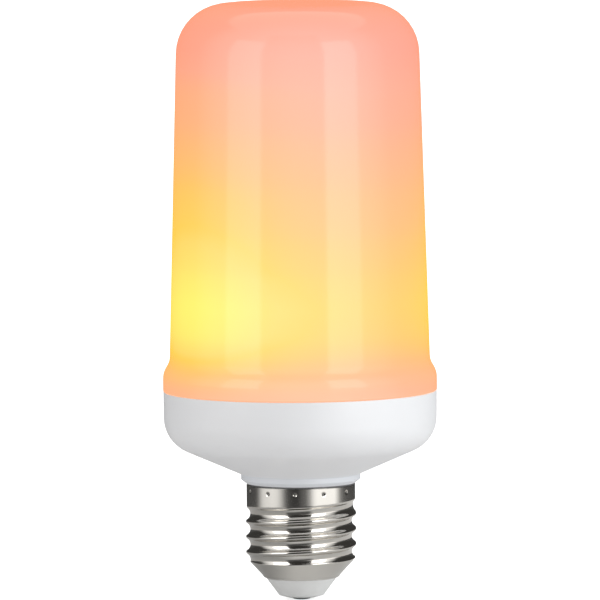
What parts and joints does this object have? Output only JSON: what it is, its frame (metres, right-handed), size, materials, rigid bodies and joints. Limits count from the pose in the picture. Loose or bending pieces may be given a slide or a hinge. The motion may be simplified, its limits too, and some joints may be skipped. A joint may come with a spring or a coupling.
{
  "type": "flame effect led bulb",
  "caption": "Tall LED lamp with an opal tapered cover that glows in flame colours, a shallow white base and a screw cap.",
  "frame": {"origin": "the tip of the centre contact, on the lamp's axis", "axes": "+Z along the lamp's axis, from the screw cap up to the top of the cover; -Y is the side that the picture shows"},
  "size_m": [0.0646, 0.0646, 0.141],
  "materials": {
    "opal_cover": "satin opal plastic, lit from inside in flame colours",
    "white_housing": "satin white plastic",
    "nickel_plate": "nickel-plated sheet, faintly warm",
    "white_insulator": "white insulating compound",
    "contact_metal": "tinned metal",
    "carrier_plastic": "white plastic",
    "flex_board": "white solder mask on a flexible board",
    "rigid_board": "green solder mask on a glass fibre board",
    "led_chip": "yellow phosphor in white chip bodies",
    "screw_steel": "zinc-plated steel",
    "capacitor_sleeve": "black sleeve",
    "chip_plastic": "black moulding compound",
    "ferrite": "dark ferrite with enamelled copper wire",
    "resistor_body": "blue-green coating",
    "header_plastic": "black plastic block with plated pins",
    "lead_cover": "red insulation",
    "tinned_wire": "tinned copper"
  },
  "bodies": {
    "root": {"diffuser_cover": "opal_cover", "base_housing": "white_housing", "screw_shell": "nickel_plate", "cap_insulator": "white_insulator", "centre_contact": "contact_metal", "led_carrier": "carrier_plastic", "side_led_board": "flex_board", "led_column_01": "led_chip", "led_column_02": "led_chip", "led_column_03": "led_chip", "led_column_04": "led_chip", "led_column_05": "led_chip", "led_column_06": "led_chip", "led_column_07": "led_chip", "led_column_08": "led_chip", "led_column_09": "led_chip", "led_column_10": "led_chip", "led_column_11": "led_chip", "led_column_12": "led_chip", "top_led_board": "rigid_board", "top_led_chips": "led_chip", "carrier_screws": "screw_steel", "top_board_screws": "screw_steel", "control_board": "rigid_board", "pin_header": "header_plastic", "controller_chip": "chip_plastic", "driver_board": "rigid_board", "driver_chip": "chip_plastic", "bridge_rectifier": "chip_plastic", "input_capacitor": "capacitor_sleeve", "output_capacitor": "capacitor_sleeve", "inductor": "ferrite", "fusible_resistor": "resistor_body", "live_lead": "lead_cover", "neutral_lead": "tinned_wire"}
  },
  "joints": []
}
